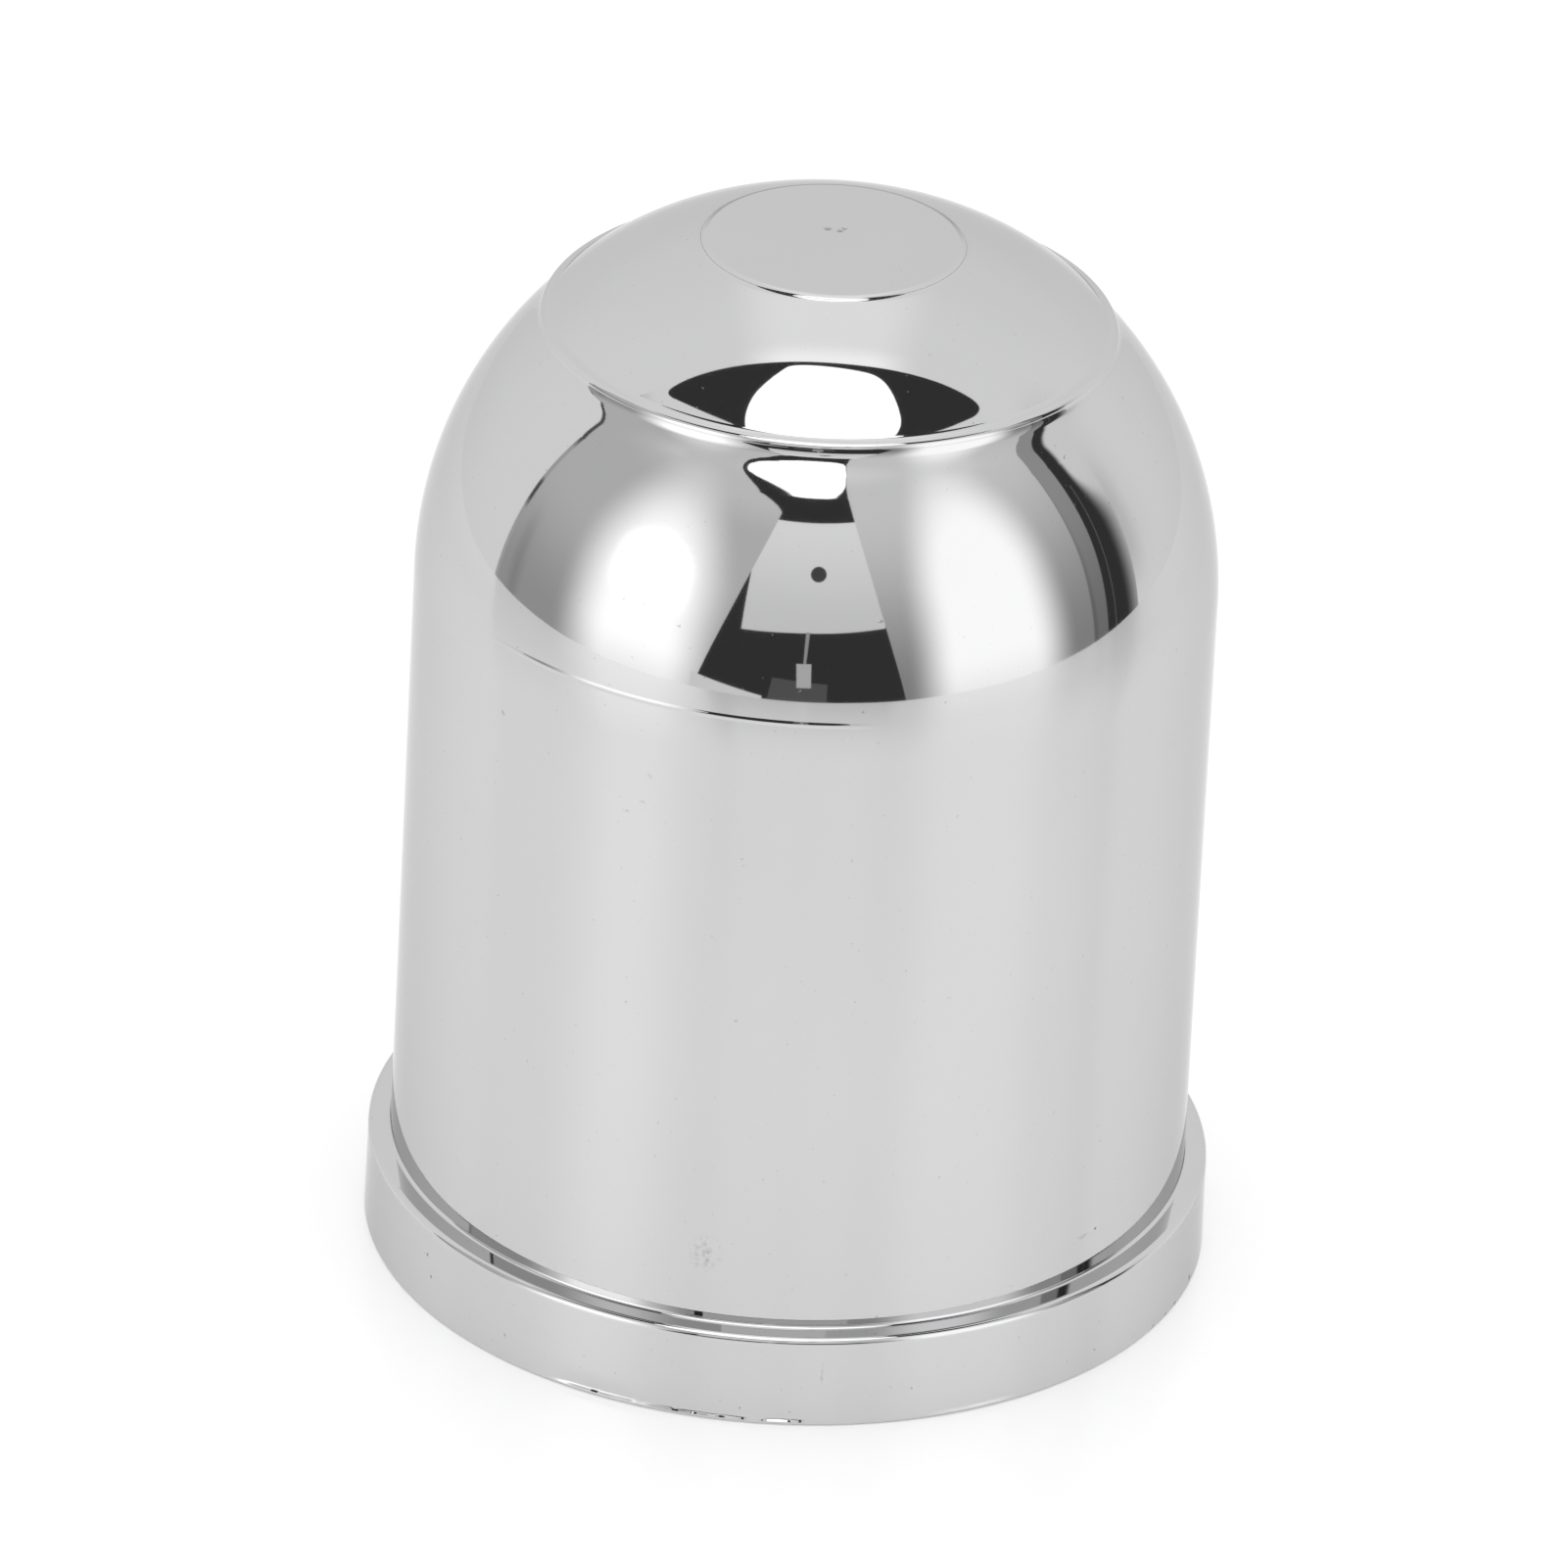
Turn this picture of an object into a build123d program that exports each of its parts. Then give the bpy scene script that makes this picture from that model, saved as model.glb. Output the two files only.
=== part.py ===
# Cover for a tow ball: one moulded, chrome-plated shell, open at the bottom
# Millimetres, +Z up, origin at the centre of the rim's underside
from build123d import *
from math import cos, radians, sin, sqrt, tan
import os

# Driving dimensions: the ball and the shell around it
ball_diameter = 50.0
rib_bite = 0.2
rib_height = 3.6
wall = 2.0

# Driving dimensions: the tapered body and the dome
dome_base_height = 54.9
body_draft = 0.34

# Driving dimensions: the rim band around the mouth
rim_height = 7.5
rim_step = 1.7
rim_draft = 1.2
rim_foot_bevel = 0.25
rim_top_bevel = 0.4
rim_body_bevel = 0.4

# Driving dimensions: the raised cap on the dome
cap_radius = 21.5
cap_edge_rise = 0.75
cap_edge_fillet = 1.5
cap_crown_radius = 26.8

# Driving dimensions: the flat disc on the cap
disc_radius = 9.7
disc_sink = 0.67
disc_height = 0.4
disc_edge_bevel = 0.2

# Driving dimensions: the grip ribs inside
rib_count = 6
rib_thickness = 1.6
rib_foot_height = 27.0
rib_lead_in = 6.0

# Radii of the shell, from the ball outwards
rib_crest_radius = ball_diameter / 2 - rib_bite
bore_radius = rib_crest_radius + rib_height
dome_radius = bore_radius + wall

# The body's straight side runs into the dome without a kink
draft = radians(body_draft)
side_top = (dome_radius * cos(draft), dome_base_height + dome_radius * sin(draft))
side_foot = (side_top[0] + (side_top[1] - rim_height) * tan(draft), rim_height)

# The rim band stands proud of the body and keeps its own wall
rim_top_radius = side_foot[0] + rim_step
rim_radius = rim_top_radius + rim_height * tan(radians(rim_draft))
mouth_radius = rim_top_radius - wall
mouth_depth = rim_height - wall

# Below the ribs the bore is straight, and above their feet it follows the body's draft
skirt_radius = bore_radius + (dome_base_height - rib_foot_height) * tan(draft)
lead_in_top = mouth_depth + mouth_radius - skirt_radius

# The cap starts a step above the dome, and its disc lies a little under the dome's full round
cap_foot_height = dome_base_height + sqrt(dome_radius**2 - cap_radius**2)
cap_edge_height = cap_foot_height + cap_edge_rise
disc_foot_height = dome_base_height + sqrt(dome_radius**2 - disc_radius**2) - disc_sink
total_height = disc_foot_height + disc_height
ceiling_height = total_height - wall
ceiling_radius = sqrt(bore_radius**2 - (ceiling_height - dome_base_height) ** 2)

# The ribs are rooted in the middle of the wall
root_radius = bore_radius + wall / 2
rib_top_height = dome_base_height + sqrt(root_radius**2 - rib_crest_radius**2)


def on_dome(radius, height):
    """Point halfway along the arc from the dome's base circle to a given height."""
    rise = height - dome_base_height
    middle = Vector(radius, 0) + Vector(sqrt(radius**2 - rise**2), rise)
    middle = middle.normalized() * radius
    return (middle.X, dome_base_height + middle.Y)


# One grip rib: a straight crest that holds the ball, with a sloped lead-in below
with BuildPart() as grip_rib:
    with BuildSketch(Plane.XZ):
        with BuildLine():
            Polyline(
                (rib_crest_radius, rib_top_height),
                (rib_crest_radius, rib_foot_height + rib_lead_in),
                (skirt_radius, rib_foot_height),
                (root_radius, rib_foot_height),
                (root_radius, dome_base_height),
            )
            ThreePointArc(
                (root_radius, dome_base_height),
                on_dome(root_radius, rib_top_height),
                (rib_crest_radius, rib_top_height),
            )
        make_face()
    extrude(amount=rib_thickness / 2, both=True)

# Half section of the shell, turned about the upright axis
with BuildPart() as tow_ball_cover:
    with BuildSketch(Plane.XZ) as section:
        with BuildLine():
            Polyline((mouth_radius, 0), (rim_radius, 0), (rim_top_radius, rim_height), side_foot, side_top)
            ThreePointArc(side_top, on_dome(dome_radius, cap_foot_height), (cap_radius, cap_foot_height))
            Line((cap_radius, cap_foot_height), (cap_radius, cap_edge_height))
            RadiusArc((cap_radius, cap_edge_height), (disc_radius, disc_foot_height), -cap_crown_radius)
            Polyline(
                (disc_radius, disc_foot_height),
                (disc_radius, total_height),
                (0, total_height),
                (0, ceiling_height),
                (ceiling_radius, ceiling_height),
            )
            ThreePointArc(
                (ceiling_radius, ceiling_height),
                on_dome(bore_radius, ceiling_height),
                (bore_radius, dome_base_height),
            )
            Polyline(
                (bore_radius, dome_base_height),
                (skirt_radius, rib_foot_height),
                (skirt_radius, lead_in_top),
                (mouth_radius, mouth_depth),
                (mouth_radius, 0),
            )
        make_face()

        # The cap's step is rounded at its foot, and the other corners are bevelled
        cap_foot = (cap_radius, cap_foot_height)
        fillet(section.vertices().sort_by_distance(cap_foot)[0], cap_edge_fillet)
        for corner, length in (
            ((rim_radius, 0), rim_foot_bevel),
            ((rim_top_radius, rim_height), rim_top_bevel),
            (side_foot, rim_body_bevel),
            ((disc_radius, total_height), disc_edge_bevel),
        ):
            chamfer(section.vertices().sort_by_distance(corner)[0], length)
    revolve(axis=Axis.Z)

    # The ribs stand in a ring inside the shell
    with PolarLocations(0, rib_count):
        add(grip_rib.part)

os.makedirs("parts", exist_ok=True)
tow_ball_cover.part.label = "tow_ball_cover"
export_step(tow_ball_cover.part, "parts/tow_ball_cover.step")
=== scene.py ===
# Look of the tow ball cover: a chrome-plated shell standing in a white studio
from math import asin, atan2, cos, degrees, hypot, pi, radians, sin, sqrt, tan

import bpy
from mathutils import Matrix, Vector, noise


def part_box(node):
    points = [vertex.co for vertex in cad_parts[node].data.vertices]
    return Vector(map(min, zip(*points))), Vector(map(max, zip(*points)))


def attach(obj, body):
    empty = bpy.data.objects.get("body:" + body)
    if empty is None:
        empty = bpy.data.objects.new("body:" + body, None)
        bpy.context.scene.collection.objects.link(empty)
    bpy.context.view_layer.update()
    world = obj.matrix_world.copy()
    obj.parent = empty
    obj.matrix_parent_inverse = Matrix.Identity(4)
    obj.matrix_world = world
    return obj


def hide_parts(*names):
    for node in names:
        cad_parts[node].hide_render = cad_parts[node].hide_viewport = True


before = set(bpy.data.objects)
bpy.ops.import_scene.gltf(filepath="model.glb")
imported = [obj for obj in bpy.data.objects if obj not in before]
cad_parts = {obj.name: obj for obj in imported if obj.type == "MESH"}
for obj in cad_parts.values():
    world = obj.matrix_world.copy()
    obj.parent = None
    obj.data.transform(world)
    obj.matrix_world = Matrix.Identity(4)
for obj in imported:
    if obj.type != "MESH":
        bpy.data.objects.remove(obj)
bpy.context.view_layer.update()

MM = 0.001

# Sizes of the shell in millimetres, the overall ones from the frame
_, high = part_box("tow_ball_cover")
rim_radius = min(high.x, high.y) / MM
total_height = high.z / MM
wall = 2.0
bore_radius = 28.4
dome_radius = bore_radius + wall
dome_base = 54.9
body_draft = 0.34
rim_height = 7.5
rim_step = 1.7
ledge_fall = 0.13
cap_crown_radius = 24.0
disc_foot_radius = 10.1
disc_height = 0.32
rib_count = 6
rib_thickness = 1.6
rib_crest = 24.8
rib_foot = 27.0
rib_lead_in = 6.0

# Roundings of the mouth and the rim
lead_in_round = 0.5
mouth_round = 0.3
rim_foot_round = 0.25
rim_top_round = 0.5
rim_body_fillet = 0.3

# The neck and the cap's lip: radii, and how far up the surface faces where one round meets the next
neck_radius = 12.6
neck_fillet = 1.32
lip_round = 0.535
lip_hollow = 0.79
neck_start = 42.05
neck_end = 37.3
neck_ease = 0.5
lip_foot = 9.0
lip_top = 85.0

# The disc's edge: its slope from upright, and the roundings at its foot and its top
disc_slope = 49.0
disc_rounds = 1.0, 0.8

# Pits that the gate left on the disc: place from the axis and radius, in millimetres
gate_pits = [(-0.48, 1.8, 0.4), (0.44, 1.57, 0.4), (0.78, 2.0, 0.3)]
gate_depth = 0.07
gate_reach = 0.9, 2.9

# Witness line of the mould: it fades in and out between two azimuths each, in degrees
witness_height = 58.35
witness_width = 0.26
witness_rise = 0.035
witness_start = -54, -38
witness_end = 11, -4

# Worn foot of the rim, and its stretches: azimuths of both ends in degrees, and strength
burr_height = 0.42
burr_width = 0.14
burr_depth = 0.12
burr_run_out = 1.8
burrs = [(-29, -19, 1.0), (-18, -14, 0.8), (-13, -4, 0.7), (-1, 3, 1.2), (22, 33, 0.2)]

# Specks on the plating: azimuth in degrees, height, half width, half height and strength
specks = [
    (-56.0, 4.95, 0.17, 0.28, 0.6), (-54.8, 3.3, 0.19, 0.2, 0.55), (-39.4, 2.3, 0.14, 0.16, 0.35),
    (75.2, 0.7, 0.35, 0.3, 0.6), (68.8, 0.35, 0.3, 0.2, 0.5), (65.7, 0.3, 0.25, 0.15, 0.4),
    (61.9, 0.3, 0.25, 0.15, 0.4), (-4.5, 1.25, 0.13, 0.13, 0.4), (2.1, 1.15, 0.13, 0.13, 0.3),
    (18.5, 2.85, 0.12, 0.2, 0.35), (15.6, 3.15, 0.12, 0.12, 0.25), (47.9, 1.75, 0.14, 0.14, 0.35),
    (14.0, 8.25, 0.16, 0.12, 0.25), (-26.4, 3.15, 0.12, 0.14, 0.2), (-48.2, 52.8, 0.34, 0.22, 0.3),
    (-22.2, 52.4, 0.3, 0.3, 0.15), (-23.1, 50.1, 0.4, 0.16, 0.17), (-25.5, 49.0, 0.17, 0.17, 0.25),
    (50.5, 11.05, 0.22, 0.16, 0.6), (47.9, 10.9, 0.75, 0.22, 0.2), (6.2, 4.2, 0.1, 0.5, 0.3),
    (6.3, 4.6, 0.08, 1.7, 0.14),
]
speck_raggedness = 0.4

# Other marks of the plating: a scuff by azimuth, height and size; painted dark in the gate's pits,
# standing in for the dark they mirror; and a thin painted dark reflection round the disc's back
scuff = -10.5, 13.2, 1.5
scuff_strength = 0.28
dust_strength = 0.25
gate_painted_dark = 0.45
# Painted dark reflection round the back of the disc's edge: its radius, width, strength, and where it
# starts towards the back
disc_line = 9.65
disc_line_width = 0.24
disc_line_strength = 0.4
disc_line_start = 0.5, 4.0

# Heights and radii that follow from the sizes
draft = radians(body_draft)
side_top = Vector((0, dome_base)) + Vector((cos(draft), sin(draft))) * dome_radius
side_foot = Vector((side_top.x + (side_top.y - rim_height) * tan(draft), rim_height))
rim_top_radius = side_foot.x + rim_step
mouth_radius = rim_top_radius - wall
mouth_depth = rim_height - wall
skirt_radius = bore_radius + (dome_base - rib_foot) * tan(draft)
ceiling = total_height - wall
disc_foot = Vector((disc_foot_radius, total_height - disc_height))
disc_edge = disc_foot + Vector((-tan(radians(disc_slope)), 1)) * disc_height
rib_top = dome_base + sqrt(bore_radius**2 - rib_crest**2 - (rib_thickness / 2) ** 2)

# Points of each ring: those on the way from one rib to the next, and all with each rib's four
points_between_ribs = 44
ring_points = rib_count * (points_between_ribs + 4)

# A ring of a smaller radius than this, in millimetres, is one point on the axis
on_axis = 1e-6

# Rings of the dome whose normals are eased into the neck, and how far back their means reach
eased_rings = 18
mean_rings = 24

# Edges of the inside that turn by more than this, in degrees, stay sharp
sharp_turn = 35


def line(start, end, steps):
    """Straight stretch of the section: points with their normals, without the end."""
    start, along = Vector(start), Vector(end) - Vector(start)
    normal = Vector((along.y, -along.x)).normalized()
    return [(start + along * (i / steps), normal) for i in range(steps)]


def arc(centre, radius, start, end, steps):
    """Round stretch by its angles in degrees, without the end: a falling angle makes it hollow."""
    side = 1 if end > start else -1
    rays = [radians(start + (end - start) * i / steps) for i in range(steps)]
    rays = [Vector((cos(ray), sin(ray))) for ray in rays]
    return [(Vector(centre) + ray * radius, ray * side) for ray in rays]


def rounded(corners, radii, steps):
    """Polyline with its inner corners rounded: points with their normals, without the end."""
    corners = [Vector(corner) for corner in corners]
    section = []
    start = corners[0]
    for before, corner, after, radius in zip(corners, corners[1:], corners[2:], radii):
        arriving, leaving = (corner - before).normalized(), (after - corner).normalized()
        turn = arriving.angle_signed(leaving)
        reach = radius * tan(abs(turn) / 2)
        section += line(start, corner - arriving * reach, steps)
        side = 1 if turn < 0 else -1
        normal = Vector((arriving.y, -arriving.x)) * side
        centre = corner - arriving * reach - normal * radius
        first = degrees(atan2(normal.y, normal.x))
        section += arc(centre, radius, first, first + abs(degrees(turn)) * side, 3 * steps)
        start = corner + leaving * reach
    return section + line(start, corners[-1], 2 * steps)


def facing(angle):
    """Direction of a surface that faces up by an angle in degrees."""
    return Vector((cos(radians(angle)), sin(radians(angle))))


def angle_of(way):
    """Angle of a direction in degrees."""
    return degrees(atan2(way.y, way.x))


def direction(azimuth, elevation):
    """Unit vector by an azimuth from the camera's side, to the right, and an elevation, in degrees."""
    azimuth, elevation = radians(azimuth), radians(elevation)
    return Vector((cos(elevation) * sin(azimuth), -cos(elevation) * cos(azimuth), sin(elevation)))


def meet(first, first_reach, second, second_reach):
    """Point at set distances from two others, to the left of the way from the first to the second."""
    way = second - first
    ahead = (first_reach**2 - second_reach**2 + way.length_squared) / 2 / way.length
    along = way.normalized()
    return first + along * ahead + Vector((-along.y, along.x)) * sqrt(first_reach**2 - ahead**2)


def on_rim(height):
    """Point of the rim's side at a height."""
    return Vector((rim_radius, 0)).lerp(Vector((rim_top_radius, rim_height)), height / rim_height)


def inner_section():
    """Section of the inside, from the axis at the ceiling down to the mouth."""
    dome = Vector((0, dome_base))
    first = degrees(asin((ceiling - dome_base) / bore_radius))
    at_rib_top = degrees(asin((rib_top - dome_base) / bore_radius))
    section = line((0, ceiling), (bore_radius * cos(radians(first)), ceiling), 4)
    section += arc(dome, bore_radius, first, at_rib_top, 14)
    section += arc(dome, bore_radius, at_rib_top, 0, 10)
    section += line((bore_radius, dome_base), (skirt_radius, rib_foot + rib_lead_in), 4)
    section += line((skirt_radius, rib_foot + rib_lead_in), (skirt_radius, rib_foot), 3)
    lead_in_top = mouth_depth + mouth_radius - skirt_radius
    corners = (skirt_radius, rib_foot), (skirt_radius, lead_in_top), (mouth_radius, mouth_depth)
    section += rounded((*corners, (mouth_radius, mouth_round)), (lead_in_round, lead_in_round), 2)
    return section


def outer_section():
    """Section of the outside, from the mouth's edge round the rim and up to the axis on the disc."""
    dome = Vector((0, dome_base))
    section = arc((mouth_radius + mouth_round, mouth_round), mouth_round, 180, 270, 5)
    burr_foot = on_rim(burr_height - burr_width)
    burr_end = on_rim(burr_height + burr_run_out)
    corners = (mouth_radius + mouth_round, 0), (rim_radius, 0), burr_foot
    section += rounded(corners, (rim_foot_round,), 2)
    section += line(burr_foot, on_rim(burr_height), 6)
    section += line(on_rim(burr_height), burr_end, 9)
    corners = burr_end, (rim_top_radius, rim_height - ledge_fall), side_foot, side_top
    section += rounded(corners, (rim_top_round, rim_body_fillet), 5)

    # The dome, with close points where the witness line crosses it and before the neck
    at_witness = degrees(asin((witness_height - dome_base) / dome_radius))
    margin = degrees(witness_width / dome_radius) * 1.2
    before_neck = neck_start - 4
    section += arc(dome, dome_radius, body_draft, at_witness - margin, 8)
    section += arc(dome, dome_radius, at_witness - margin, at_witness + margin, 12)
    section += arc(dome, dome_radius, at_witness + margin, before_neck, 30)
    section += arc(dome, dome_radius, before_neck, neck_start, 20)

    # The neck's two hollows, the lip over it, and the crown that rises from the lip to the disc
    neck = dome + facing(neck_start) * (dome_radius + neck_radius)
    fillet = neck - facing(neck_end) * (neck_radius - neck_fillet)
    lip = fillet - facing(lip_foot) * (neck_fillet + lip_round)
    hollow = lip + facing(lip_top) * (lip_round + lip_hollow)
    crown = meet(hollow, lip_hollow + cap_crown_radius, disc_foot, cap_crown_radius)
    crown_start, crown_end = angle_of(hollow - crown), angle_of(disc_foot - crown) - 1
    waist = len(section)
    section += arc(neck, neck_radius, neck_start + 180, neck_end + 180, 14)
    ease(section, waist)
    section += arc(fillet, neck_fillet, neck_end + 180, lip_foot + 180, 14)
    section += arc(lip, lip_round, lip_foot, lip_top, 16)
    section += arc(hollow, lip_hollow, lip_top + 180, crown_start + 180, 10)
    section += arc(crown, cap_crown_radius, crown_start, crown_end, 24)

    # The disc, with close points where the gate's pits lie
    before = crown + facing(crown_end) * cap_crown_radius
    near, far = ((radius, total_height) for radius in gate_reach)
    section += rounded((before, disc_foot, disc_edge, far), disc_rounds, 4)
    section += line(far, near, 20) + line(near, (0, total_height), 2)
    return section + [(Vector((0, total_height)), Vector((0, 1)))]


def ease(section, waist):
    """Blend the dome's round into the neck's hollow: each normal becomes the mean of those near it."""
    start, end = waist - eased_rings, len(section) - 1
    before, eased = section[waist - mean_rings:], []
    for place, _ in section[start:end]:
        reach = min(neck_ease, (section[end][0] - place).length)
        # Normals that are eased already count as well
        near = [normal for point, normal in before + eased if (point - place).length <= reach]
        eased.append((place, sum(near, Vector((0, 0))).normalized()))
    section[start:end] = eased


def swell(distance, width):
    """Height and slope of a rounded ridge of height 1, at a distance from its line."""
    if abs(distance) >= width:
        return 0.0, 0.0
    turn = pi * distance / width
    return (1 + cos(turn)) / 2, -pi / 2 / width * sin(turn)


def ramp(start, end, value):
    """Smooth rise from 0 to 1 between two values, or fall where the end is the lower one."""
    share = min(max((value - start) / (end - start), 0), 1)
    return share * share * (3 - 2 * share)


def relief(point, normal, azimuth):
    """How far the surface stands out at a point, and its slope along the section."""
    along = (point.y - witness_height) / max(normal.x, 0.1)
    if abs(along) < witness_width:
        strength = witness_rise * ramp(*witness_start, azimuth) * ramp(*witness_end, azimuth)
        height, slope = swell(along, witness_width)
        return strength * height, strength * slope
    if point.y < burr_height + burr_run_out and point.x > mouth_radius + wall / 2:
        return burr(point.y, azimuth)
    return 0.0, 0.0


def burr(height, azimuth):
    """Worn foot of the rim: the surface above dips in, so that a ragged edge is left below."""
    marking = 0.0
    for start, end, share in burrs:
        marking += share * ramp(start - 1, start + 1, azimuth) * ramp(end + 1, end - 1, azimuth)
    raggedness = 0.8 + 0.5 * noise.noise(Vector((azimuth * 0.9, 3.7, 0.0)))
    depth = burr_depth * marking * raggedness
    if height < burr_height - burr_width:
        return 0.0, 0.0
    if height < burr_height:
        return -depth * ramp(burr_height - burr_width, burr_height, height), -1.5 * depth / burr_width
    share = (height - burr_height) / burr_run_out
    return -depth * (1 - share) ** 2, 2 * depth * (1 - share) / burr_run_out


def gate_dent(spot):
    """Depth of the gate's pits at a spot of the disc, and how it grows along the disc."""
    depth, growth = 0.0, Vector((0, 0, 0))
    for x, y, size in gate_pits:
        away = Vector((spot.x - x, spot.y - y, 0))
        share, slope = swell(away.length, size)
        depth += gate_depth * share
        growth += away.normalized() * gate_depth * slope
    return depth, growth


def crest_at(height):
    """Radius of a rib's crest at a height, or nothing where there is no rib."""
    if not rib_foot < height < rib_top - 0.01:
        return None
    lead_in = min((height - rib_foot) / rib_lead_in, 1)
    return skirt_radius + (rib_crest - skirt_radius) * lead_in


class Skin:
    """Rings of points about the upright axis, and the faces between each ring and the next."""

    def __init__(self):
        self.points, self.normals, self.faces, self.inside = [], [], [], []
        self.last = None

    def add(self, point, normal=(0, 0, 0)):
        self.points.append(Vector(point) * MM)
        self.normals.append(Vector(normal))
        return len(self.points) - 1

    def join(self, ring, inside):
        """Faces from the last ring to this one. Doubled corners make triangles or nothing."""
        if self.last:
            for i in range(len(ring)):
                j = (i + 1) % len(ring)
                corners = dict.fromkeys((self.last[i], self.last[j], ring[j], ring[i]))
                if len(corners) > 2:
                    self.faces.append(tuple(corners))
                    self.inside.append(inside)
        self.last = ring

    def inner_ring(self, radius, height, crest):
        """Ring of the inside, with the corners of each rib where there are ribs."""
        if radius < on_axis:
            return [self.add((0, 0, height))] * ring_points
        ring = []
        half = rib_thickness / 2
        edge = asin(half / max(radius, bore_radius / 2))
        for rib in range(rib_count):
            turn = Matrix.Rotation(2 * pi * rib / rib_count, 3, "Z")
            foot = sqrt(radius**2 - (radius * sin(edge)) ** 2)
            right = self.add(turn @ Vector((foot, -radius * sin(edge), height)))
            left = self.add(turn @ Vector((foot, radius * sin(edge), height)))
            corners = [right, right, left, left]
            if crest:
                corners[1] = self.add(turn @ Vector((crest, -half, height)))
                corners[2] = self.add(turn @ Vector((crest, half, height)))
            ring += corners
            for angle in between_ribs(edge):
                ring.append(self.add(turn @ Vector((radius * cos(angle), radius * sin(angle), height))))
        return ring

    def outer_ring(self, point, normal):
        """Ring of the outside, with its normals and its small marks."""
        up = Vector((0, 0, 1))
        if point.x < on_axis:
            return [self.add((0, 0, point.y), up)] * ring_points
        ring = []
        edge = asin(rib_thickness / 2 / mouth_radius)
        tangent = Vector((-normal.y, normal.x))
        for rib in range(rib_count):
            made = []
            for angle in (-edge, edge, *between_ribs(edge)):
                angle += 2 * pi * rib / rib_count
                azimuth = (degrees(angle) + 270) % 360 - 180
                height, slope = relief(point, normal, azimuth)
                place = point + normal * height
                tilted = (normal - tangent * slope).normalized()
                across = Vector((cos(angle), sin(angle), 0))
                spot = across * place.x + up * place.y
                way = across * tilted.x + up * tilted.y
                if gate_reach[0] < point.x < gate_reach[1]:
                    depth, growth = gate_dent(spot)
                    spot, way = spot - up * depth, (way + growth).normalized()
                made.append(self.add(spot, way))
            ring += [made[0], made[0], made[1], made[1], *made[2:]]
        return ring


def between_ribs(edge):
    """Angles of the points between one rib's edge and the next rib's, both left out."""
    span = 2 * pi / rib_count - 2 * edge
    return [edge + span * (i + 1) / (points_between_ribs + 1) for i in range(points_between_ribs)]


def shell_mesh():
    """The whole shell as one closed skin: down the inside, round the rim and up the outside."""
    skin = Skin()
    for point, _ in inner_section():
        skin.join(skin.inner_ring(point.x, point.y, crest_at(point.y)), True)
    for point, normal in outer_section():
        skin.join(skin.outer_ring(point, normal), False)
    mesh = bpy.data.meshes.new("cover_shell")
    mesh.from_pydata(skin.points, [], skin.faces)
    mesh.polygons.foreach_set("use_smooth", [True] * len(mesh.polygons))
    mesh.polygons.foreach_set("material_index", [int(inside) for inside in skin.inside])
    mesh.set_sharp_from_angle(angle=radians(sharp_turn))
    normals = []
    for polygon in mesh.polygons:
        for vertex in polygon.vertices:
            normals.append((0, 0, 0) if polygon.material_index else skin.normals[vertex])
    mesh.normals_split_custom_set(normals)
    mesh.validate()
    return mesh


def node(tree, kind, inputs=None, **settings):
    """New shader node: its settings, then its inputs, each a value or the socket it is fed from."""
    made = tree.nodes.new(kind)
    for name, value in settings.items():
        setattr(made, name, value)
    for name, value in (inputs or {}).items():
        if isinstance(value, bpy.types.NodeSocket):
            tree.links.new(value, made.inputs[name])
        else:
            made.inputs[name].default_value = value
    return made


def surface(name):
    """New material with its node tree and its Principled shader."""
    material = bpy.data.materials.new(name)
    material.use_nodes = True
    return material, material.node_tree, material.node_tree.nodes["Principled BSDF"]


def pattern(tree, place, scale, detail):
    """Sockets of a soft random pattern: Fac for a value and Color for a vector."""
    inputs = {"Vector": place, "Scale": scale, "Detail": detail}
    return node(tree, "ShaderNodeTexNoise", inputs).outputs


def between(tree, share, first, second):
    """Socket of a colour between two others, each a value or the socket it is fed from."""
    # The node takes its two colours in the sockets 6 and 7
    inputs = {"Factor": share, 6: first, 7: second}
    return node(tree, "ShaderNodeMix", inputs, data_type="RGBA").outputs[2]


def spread(tree, value, low_in, high_in, low_out, high_out):
    """Socket that maps one range of a value to another, held at both ends."""
    inputs = {"Value": value, "From Min": low_in, "From Max": high_in}
    inputs |= {"To Min": low_out, "To Max": high_out}
    return node(tree, "ShaderNodeMapRange", inputs).outputs["Result"]


def vectors(tree, operation, first, second):
    """Socket of an operation on two vectors."""
    return node(tree, "ShaderNodeVectorMath", {0: first, 1: second}, operation=operation).outputs[0]


def length(tree, vector):
    """Socket of a vector's length."""
    return node(tree, "ShaderNodeVectorMath", {0: vector}, operation="LENGTH").outputs["Value"]


def values(tree, operation, first, second=0.0):
    """Socket of an operation on one value or two."""
    return node(tree, "ShaderNodeMath", {0: first, 1: second}, operation=operation).outputs[0]


def on_outside(azimuth, height):
    """Point of the rim, the body or the dome."""
    if height < rim_height:
        radius = on_rim(height).x
    elif height < dome_base:
        radius = dome_radius + (dome_base - height) * tan(draft)
    else:
        radius = sqrt(dome_radius**2 - (height - dome_base) ** 2)
    return direction(azimuth, 0) * radius + Vector((0, 0, height))


def blot(tree, place, middle, size, strength):
    """Socket of a soft spot, strongest at its middle."""
    away = vectors(tree, "SUBTRACT", place, Vector(middle) * MM)
    away = vectors(tree, "DIVIDE", away, Vector(size) * MM)
    return spread(tree, length(tree, away), 0.35, 1.0, strength, 0.0)


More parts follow.
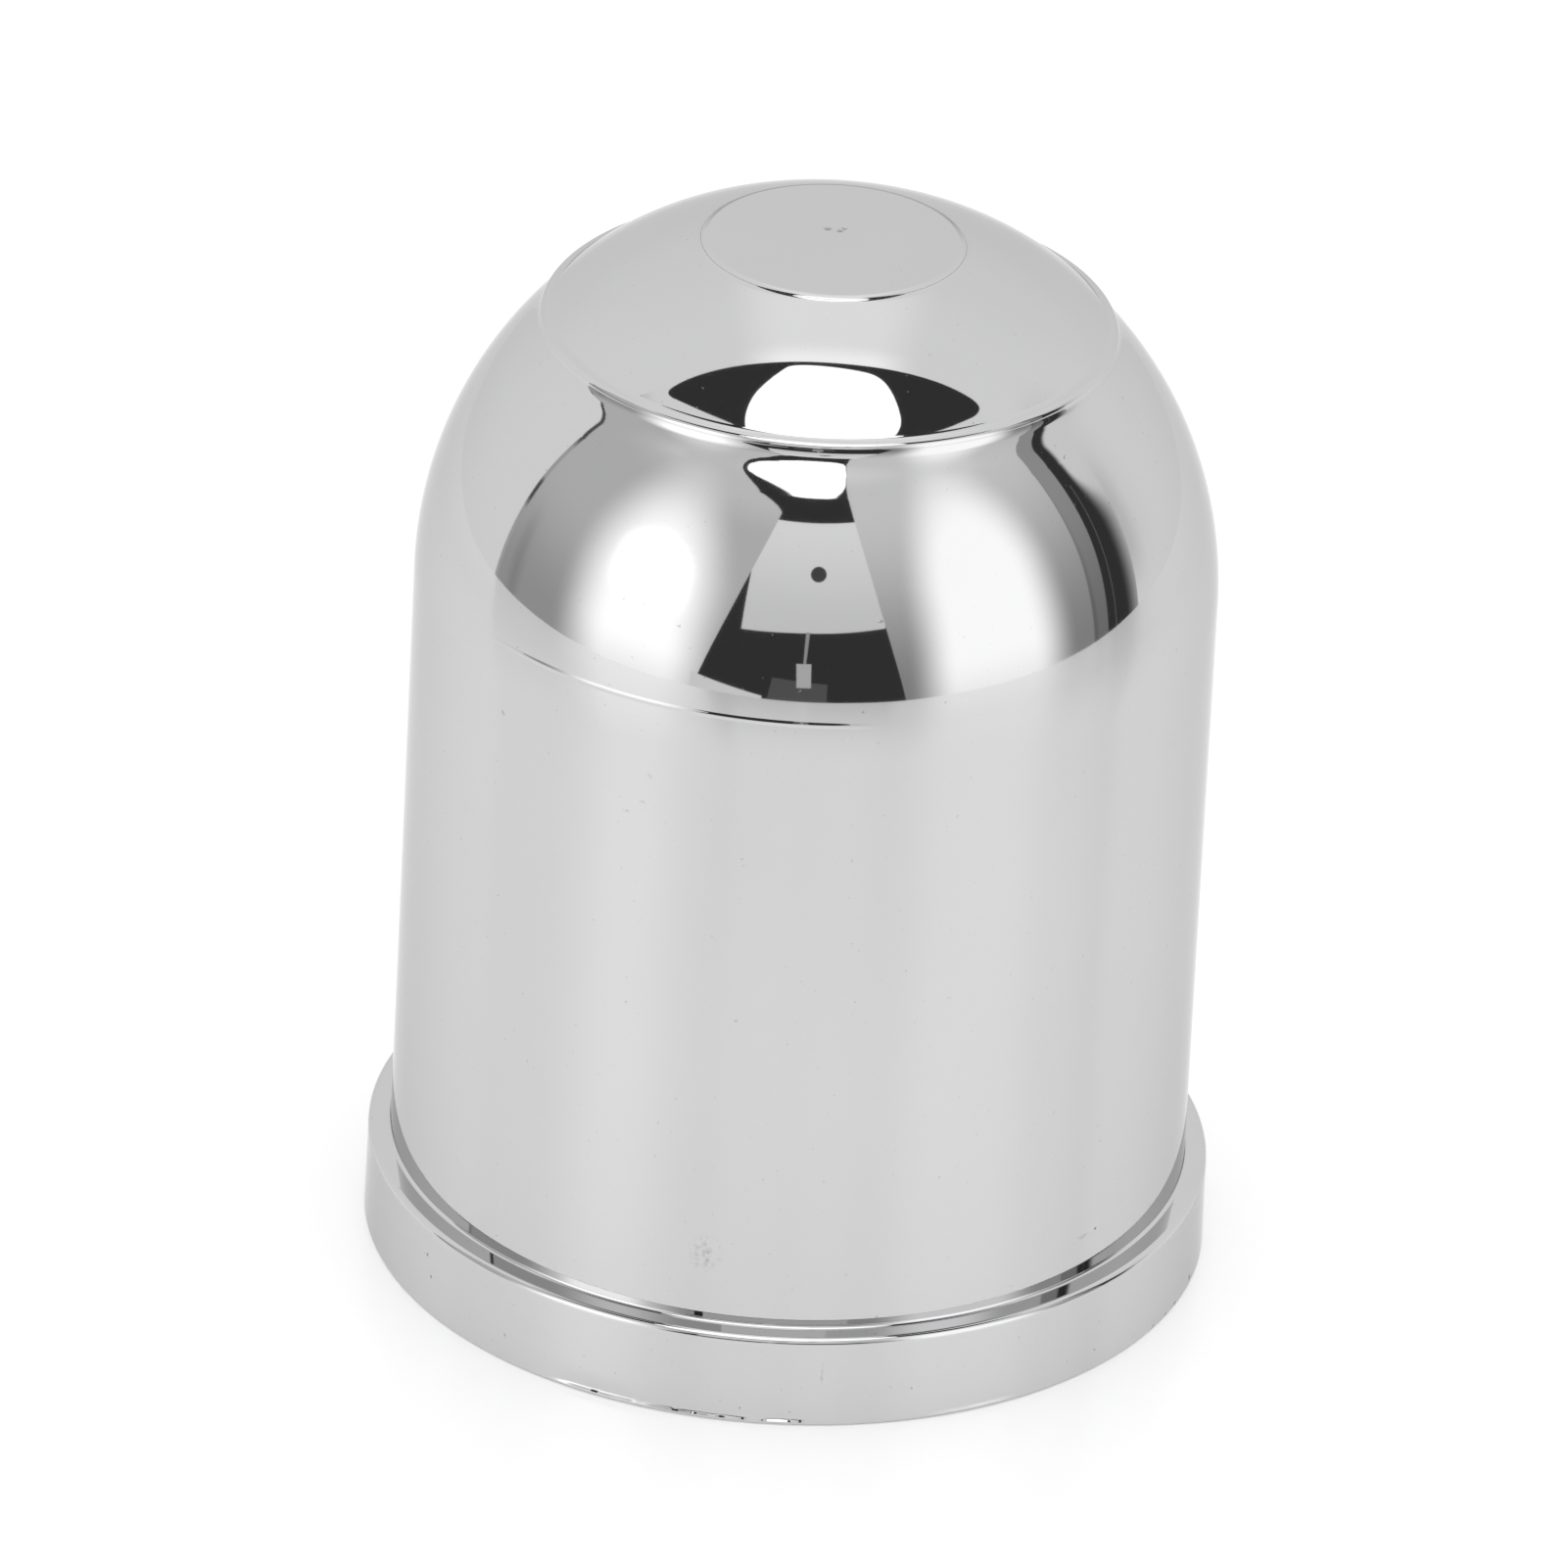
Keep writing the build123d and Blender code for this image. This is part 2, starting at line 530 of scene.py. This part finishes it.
def wear_and_painted_dark(tree, place):
    """Socket of the plating's wear, fine dust, a scuffed patch and single specks of ragged outline, and
    of painted dark reflections in the gate's pits and round the back of the disc's edge.
    """
    grain = pattern(tree, place, 2600.0, 2.0)
    dust = spread(tree, grain["Fac"], 0.72, 0.78, 0.0, dust_strength)
    azimuth, height, size = scuff
    patch = blot(tree, place, on_outside(azimuth, height), (size, size, size * 1.2), 1.0)
    grit = spread(tree, grain["Fac"], 0.48, 0.68, 0.0, scuff_strength)
    marking = values(tree, "MAXIMUM", dust, values(tree, "MULTIPLY", patch, grit))
    ragged = vectors(tree, "SUBTRACT", grain["Color"], (0.5, 0.5, 0.5))
    ragged = vectors(tree, "MULTIPLY", ragged, [speck_raggedness * MM] * 3)
    ragged = vectors(tree, "ADD", place, ragged)
    spots = [(on_outside(azimuth, height), *sizes) for azimuth, height, *sizes in specks]
    # Darker spots in the gate's pits: the pits are real shape, their darkness is a painted dark
    # reflection
    spots += [((x, y, total_height), size, size, gate_painted_dark) for x, y, size in gate_pits]
    for middle, half_width, half_height, strength in spots:
        speck = blot(tree, ragged, middle, (half_width, half_width, half_height), strength)
        marking = values(tree, "MAXIMUM", marking, speck)
    return values(tree, "MAXIMUM", marking, painted_back_line(tree, place))


def painted_back_line(tree, place):
    """Socket of the thin dark line at the back of the disc's edge, a painted dark reflection."""
    parts = node(tree, "ShaderNodeSeparateXYZ", {0: place}).outputs
    radius = length(tree, vectors(tree, "MULTIPLY", place, (1, 1, 0)))
    away = values(tree, "ABSOLUTE", values(tree, "SUBTRACT", radius, disc_line * MM))
    near = spread(tree, away, disc_line_width / 2 * MM, disc_line_width * MM, disc_line_strength, 0.0)
    top = spread(tree, parts["Z"], (disc_foot.y - 0.2) * MM, disc_foot.y * MM, 0.0, 1.0)
    start, end = disc_line_start
    back = spread(tree, parts["Y"], start * MM, end * MM, 0.0, 1.0)
    return values(tree, "MULTIPLY", near, values(tree, "MULTIPLY", top, back))


# Colours of the plating outside and inside, each darkest and palest, and of the marks on it
chrome_tones = (0.585, 0.585, 0.59, 1), (0.615, 0.615, 0.62, 1)
chrome_edge_tone = 0.75, 0.75, 0.75, 1
dull_tones = (0.58, 0.58, 0.58, 1), (0.7, 0.7, 0.705, 1)
mark_tone = 0.1, 0.1, 0.1, 1

# Heights of the plating's faint waves and of the grain inside, in millimetres
wave_height = 0.03
grain_height = 0.02


def chrome():
    """Polished chrome plating: a little haze, faint waves, a few marks of wear, and painted dark
    reflections at the gate's pits and the disc's back edge.
    """
    material, tree, shader = surface("chrome_plating")
    place = node(tree, "ShaderNodeTexCoord").outputs["Object"]
    haze = pattern(tree, place, 55.0, 4.0)["Fac"]
    waves = pattern(tree, place, 90.0, 1.0)["Fac"]
    marking = wear_and_painted_dark(tree, place)
    colour = between(tree, marking, between(tree, haze, *chrome_tones), mark_tone)
    polish = spread(tree, haze, 0.35, 0.7, 0.02, 0.05)
    bump = node(tree, "ShaderNodeBump", {"Height": waves, "Distance": wave_height * MM})
    tree.links.new(colour, shader.inputs["Base Color"])
    tree.links.new(values(tree, "MAXIMUM", polish, marking), shader.inputs["Roughness"])
    tree.links.new(bump.outputs["Normal"], shader.inputs["Normal"])
    shader.inputs["Metallic"].default_value = 1.0
    shader.inputs["Specular Tint"].default_value = chrome_edge_tone
    return material


def dull_plating():
    """Inside of the shell: the plating is thin and matt there, and cloudy."""
    material, tree, shader = surface("dull_plating")
    place = node(tree, "ShaderNodeTexCoord").outputs["Object"]
    cloud = pattern(tree, place, 120.0, 5.0)["Fac"]
    grain = pattern(tree, place, 2500.0, 2.0)["Fac"]
    bump = node(tree, "ShaderNodeBump", {"Height": grain, "Distance": grain_height * MM, "Strength": 0.6})
    tree.links.new(between(tree, cloud, *dull_tones), shader.inputs["Base Color"])
    tree.links.new(spread(tree, cloud, 0.3, 0.7, 0.28, 0.42), shader.inputs["Roughness"])
    tree.links.new(bump.outputs["Normal"], shader.inputs["Normal"])
    shader.inputs["Metallic"].default_value = 1.0
    return material


def make_shell():
    """The cover itself, in place of the plain solid."""
    mesh = shell_mesh()
    mesh.materials.append(chrome())
    mesh.materials.append(dull_plating())
    shell = bpy.data.objects.new("cover_shell", mesh)
    bpy.context.scene.collection.objects.link(shell)
    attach(shell, "root")
    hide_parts("tow_ball_cover")


# The studio: a white room and a round table, with lamps and dark cards that only the metal mirrors
room_middle = Vector((0, 0, 0.065))

# Light of the cards, where 1 is white
dark_level = 0.045
left_level = 1.7
right_level = 1.57
top_level = 1.9

# The side lamps, in degrees: azimuth of the middle, half width, and how far the right one leans
left_middle = -50.5
left_reach = 18.0
right_middle = 52.3
right_reach = 18.7
right_lean = 0.05

# The dot on the panel in front: its middle and half sizes in degrees, and its points
dot_middle = 0.8, 28.5
dot_reach = 2.5, 2.2
dot_points = 24

# Outlines of the cards overhead, each place as a share of its height above the cover
top_dark_outline = [
    (-0.28, -1.05), (0.25, -1.05), (0.16, -0.85), (0.13, -0.6), (0.3, -0.46), (0.45, -0.37),
    (0.62, -0.24), (0.72, -0.12), (0.79, -0.03), (0.78, 0.06), (0.57, 0.09), (0.3, 0.105),
    (0.0, 0.108), (-0.34, 0.108), (-0.7, 0.088), (-0.84, 0.043), (-0.7, -0.11), (-0.58, -0.23),
    (-0.41, -0.37), (-0.48, -0.58), (-0.41, -0.75), (-0.25, -0.95),
]
top_lamp_outline = [
    (-0.14, 0.08), (-0.05, 0.082), (0.13, 0.065), (0.2, 0.045), (0.26, -0.02), (0.33, -0.15),
    (0.38, -0.28), (0.36, -0.4), (0.13, -0.6), (0.15, -0.84), (-0.13, -0.85), (-0.25, -0.78),
    (-0.47, -0.61), (-0.41, -0.46), (-0.4, -0.3), (-0.33, -0.14), (-0.24, -0.03), (-0.17, 0.05),
]


def glow():
    """Light of the cards, from the value that each of their points carries."""
    material = bpy.data.materials.new("card_light")
    material.use_nodes = True
    tree = material.node_tree
    tree.nodes.clear()
    light = node(tree, "ShaderNodeAttribute", attribute_name="light").outputs["Fac"]
    emission = node(tree, "ShaderNodeEmission", {"Strength": light})
    node(tree, "ShaderNodeOutputMaterial", {"Surface": emission.outputs[0]})
    material.cycles.emission_sampling = "NONE"
    return material


card_light = glow()


def put_card(name, points, faces, lights):
    """Mesh that only mirror-like surfaces see, with a light value at each point."""
    mesh = bpy.data.meshes.new(name)
    mesh.from_pydata(points, [], faces)
    mesh.attributes.new("light", "FLOAT", "POINT").data.foreach_set("value", lights)
    mesh.materials.append(card_light)
    card = bpy.data.objects.new(name, mesh)
    bpy.context.scene.collection.objects.link(card)
    card.visible_camera = False
    card.visible_diffuse = False
    card.visible_shadow = False


def grid_card(name, corners, place, light, steps=40):
    """Card between four spots, from its lower left round; place and light are functions of the spot."""
    lower_left, lower_right, upper_right, upper_left = (Vector(corner) for corner in corners)
    points, lights = [], []
    for row in range(steps + 1):
        for column in range(steps + 1):
            lower = lower_left.lerp(lower_right, column / steps)
            upper = upper_left.lerp(upper_right, column / steps)
            spot = lower.lerp(upper, row / steps)
            points.append(place(*spot))
            lights.append(light(*spot))
    faces = []
    for row in range(steps):
        for column in range(steps):
            first = row * (steps + 1) + column
            faces.append((first, first + 1, first + steps + 2, first + steps + 1))
    put_card(name, points, faces, lights)


def wall_card(name, corners, distance, light):
    """Upright card, its corners given as directions."""
    grid_card(name, corners, lambda *way: room_middle + direction(*way) * distance, light)


def overhead(name, outline, height, light):
    """Flat card overhead with one even light and a smooth outline."""
    outline = [Vector(spot) for spot in outline]
    for _ in range(2):
        sides = zip(outline, outline[1:] + outline[:1])
        outline = [start.lerp(end, share) for start, end in sides for share in (0.25, 0.75)]
    points = [room_middle + Vector((x, y, 1)) * height for x, y in outline]
    put_card(name, points, [tuple(range(len(points)))], [light] * len(points))


def even(level):
    """Light that is the same all over a card."""
    return lambda azimuth, elevation: level


def sheet_top(azimuth, elevation):
    """How far a lamp's sheet has paled, towards its top and its outer corner."""
    return max(ramp(51, 57, elevation), ramp(43, 48, elevation) * ramp(58, 72, abs(azimuth)))


def left_lamp(azimuth, elevation):
    """Soft lamp on the left with a brighter core, on a grey sheet that is folded near its edge."""
    sheet = 0.43 + 0.22 * ramp(-5, 22, elevation) + 0.13 * ramp(36, 48, elevation)
    sheet += 0.21 * sheet_top(azimuth, elevation)
    sheet -= 0.09 * ramp(3.5, 0, abs(azimuth + 94)) * ramp(14, 4, elevation)
    across = (azimuth - left_middle) / left_reach
    lamp = ramp(1.55, 0.45, hypot(across, max(0, elevation - 13) / 26))
    core = ramp(0.85, 0.4, hypot(across, max(0, elevation - 20) / 12)) * ramp(8, 16, elevation)
    foot = 0.72 + 0.28 * ramp(-12, 2, elevation)
    return sheet + ((left_level - sheet) * lamp + 0.7 * core) * foot


def right_lamp(azimuth, elevation):
    """Soft lamp on the right, which leans inwards towards its top, on a grey sheet."""
    sheet = 0.33 + 0.52 * ramp(-8, 46, elevation) + 0.14 * sheet_top(azimuth, elevation)
    across = (azimuth - right_middle + right_lean * elevation) / right_reach
    lamp = ramp(1.4, 0.6, hypot(across, max(0, elevation - 17) / 30))
    foot = 0.8 + 0.2 * ramp(-12, 2, elevation)
    return sheet + (right_level - sheet) * lamp * foot


def left_post(azimuth, elevation):
    """Edge of the left sheet, dark where it is folded."""
    folded = ramp(24, 28, elevation) + ramp(8, 9.5, elevation) * ramp(15.5, 14, elevation)
    return 0.5 - 0.4 * folded


def right_post(azimuth, elevation):
    """Grey column beside the right lamp."""
    return 0.23 + 0.17 * ramp(-8, 30, elevation) - 0.05 * ramp(1.2, 0.4, abs(azimuth - 85.2))


def right_dark(azimuth, elevation):
    """Dark column that fades into the backdrop on its right, more sharply towards its top."""
    sharp = ramp(10, 26, elevation)
    faded = ramp(97.5 - 1.5 * sharp, 106.5 - 8.5 * sharp, azimuth)
    return dark_level + (0.75 + 0.12 * sharp) * faded


def right_wing(azimuth, elevation):
    """Backdrop on the right, in the shade at its near edge."""
    shade = 0.09 * ramp(122, 103, azimuth) * ramp(46, 34, elevation)
    shade += 0.18 * ramp(112, 103.5, azimuth) * ramp(26, 12, elevation)
    return 1 - shade * ramp(-9, 4, elevation)


def front_panel(azimuth, elevation):
    """Pale panel in front, a little brighter towards its top."""
    return 0.845 + 0.2 * ramp(12, 42, elevation)


def back_wall(azimuth, elevation):
    """Backdrop behind, a little darker in its middle, that runs up into a lit ceiling."""
    shade = 0.025 * ramp(60, 35, abs(azimuth - 180)) * ramp(58, 40, elevation) * ramp(2, 14, elevation)
    across = sin(radians(azimuth)) / tan(radians(elevation))
    behind = -cos(radians(azimuth)) / tan(radians(elevation))
    lit = 0.16 + 0.26 * ramp(0.28, 0.12, behind)
    return 1 - shade + lit * ramp(0.38, 0.14, abs(across)) * ramp(1.3, 0.8, behind)


def panel_dot(distance):
    """Small dark dot in front of the panel."""
    points = []
    for i in range(dot_points):
        turn = 2 * pi * i / dot_points
        azimuth = dot_middle[0] + dot_reach[0] * cos(turn)
        elevation = dot_middle[1] + dot_reach[1] * sin(turn)
        points.append(room_middle + direction(azimuth, elevation) * distance)
    put_card("panel_dot", points, [tuple(range(dot_points))], [0.08] * dot_points)


def make_studio():
    """Cards round the cover, from the furthest to the nearest."""
    wall_card("back_wall", [(95, 2), (265, 2), (265, 84), (95, 84)], 3.1, back_wall)
    wall_card("front_dark", [(-40, -16), (40, -16), (40, 64), (-40, 64)], 3.0, even(dark_level))
    wall_card("front_panel", [(-20.6, 10.8), (20.6, 12.8), (20.6, 43), (-20.6, 42.4)], 2.95, front_panel)
    wall_card("left_lamp", [(-102, -16), (-35, -16), (-9, 62), (-95.5, 62)], 2.9, left_lamp)
    wall_card("right_lamp", [(28, -16), (89, -16), (90, 62), (8.5, 62)], 2.9, right_lamp)
    wall_card("right_wing", [(100, -16), (122, -16), (122, 60), (100, 60)], 2.85, right_wing)
    wall_card("left_post", [(-101.9, -10), (-100.7, -10), (-95.6, 44), (-97.1, 44)], 2.85, left_post)
    wall_card("right_post", [(84, -16), (95, -16), (95, 40), (86, 40)], 2.82, right_post)
    wall_card("right_dark", [(89.3, -16), (102.2, -16), (105.5, 40), (92.7, 40)], 2.8, right_dark)
    wall_card("right_seam", [(92.7, -14), (93, -14), (94.5, 24), (94.2, 24)], 2.78, even(0.16))
    wall_card("front_foot", [(-11.6, -8.5), (4.4, -8.5), (4.4, -2.7), (-10.4, -1.6)], 2.72, even(0.12))
    wall_card("front_step", [(-33, -10), (-13, -10), (-13, -7.2), (-33, -3.8)], 2.7, even(0.9))
    wall_card("front_strap", [(-2.4, 2), (-1.7, 2), (-0.9, 12), (-2.0, 12)], 2.68, even(0.4))
    wall_card("front_tag", [(-3.8, -4), (0, -3.9), (-0.2, 3), (-4.2, 2.8)], 2.66, even(0.6))
    panel_dot(2.65)
    overhead("top_dark", top_dark_outline, 1.8, dark_level)
    overhead("top_lamp", top_lamp_outline, 1.75, top_level)


# The table: its radius in metres, its gap under the rim in millimetres, its points and its tones
table_radius = 0.46
table_gap = 0.02
table_points = 180
table_tones = (0.92, 0.92, 0.92, 1), (0.95, 0.95, 0.95, 1)


def table_top():
    """Pale light table with a slight gloss, which can be looked through from below; its glow is strongest
    round the middle, painted light that lifts the cover's shadow.
    """
    material, tree, shader = surface("table_top")
    place = node(tree, "ShaderNodeTexCoord").outputs["Object"]
    tone = pattern(tree, place, 9.0, 2.0)["Fac"]
    # Glow that fades from the middle outwards: painted light, so that the cover's shadow on the table is
    # lifted
    lit = spread(tree, length(tree, place), 0.04, 0.25, 0.21, 0.1)
    tree.links.new(between(tree, tone, *table_tones), shader.inputs["Base Color"])
    tree.links.new(lit, shader.inputs["Emission Strength"])
    shader.inputs["Emission Color"].default_value = (1, 1, 1, 1)
    shader.inputs["Roughness"].default_value = 0.25
    shader.inputs["IOR"].default_value = 1.5
    see_through = node(tree, "ShaderNodeBsdfTransparent").outputs[0]
    from_below = node(tree, "ShaderNodeNewGeometry").outputs["Backfacing"]
    mixed = node(tree, "ShaderNodeMixShader", {0: from_below, 1: shader.outputs[0], 2: see_through})
    tree.links.new(mixed.outputs[0], tree.nodes["Material Output"].inputs["Surface"])
    return material


def make_table():
    """Round table top just under the rim."""
    points = [direction(360 * i / table_points, 0) * table_radius for i in range(table_points)]
    mesh = bpy.data.meshes.new("table")
    mesh.from_pydata(points, [], [tuple(range(table_points))])
    mesh.materials.append(table_top())
    table = bpy.data.objects.new("table", mesh)
    table.location.z = -table_gap * MM
    bpy.context.scene.collection.objects.link(table)


def make_world():
    """Even white room."""
    world = bpy.data.worlds.new("white_room")
    world.use_nodes = True
    world.node_tree.nodes["Background"].inputs["Color"].default_value = (1, 1, 1, 1)
    bpy.context.scene.world = world


# The camera's place in millimetres and degrees
camera_distance = 976.2
camera_elevation = 27.68
camera_roll = 2.92
camera_focus = Vector((0, 0, 42.3))
camera_aim = Vector((-1.64, -2.03, 38.44))
camera_lens = 295.0


def make_camera():
    """Long lens, looking down at the cover and rolled a little."""
    camera = bpy.data.objects.new("camera", bpy.data.cameras.new("camera"))
    camera.data.lens = camera_lens
    camera.location = (camera_focus + direction(0, camera_elevation) * camera_distance) * MM
    towards = camera_aim * MM - camera.location
    turn = towards.to_track_quat("-Z", "Y").to_matrix() @ Matrix.Rotation(radians(camera_roll), 3, "Z")
    camera.rotation_euler = turn.to_euler()
    bpy.context.scene.collection.objects.link(camera)
    bpy.context.scene.camera = camera


make_shell()
make_studio()
make_table()
make_world()
make_camera()
bpy.context.scene.view_settings.view_transform = "Standard"
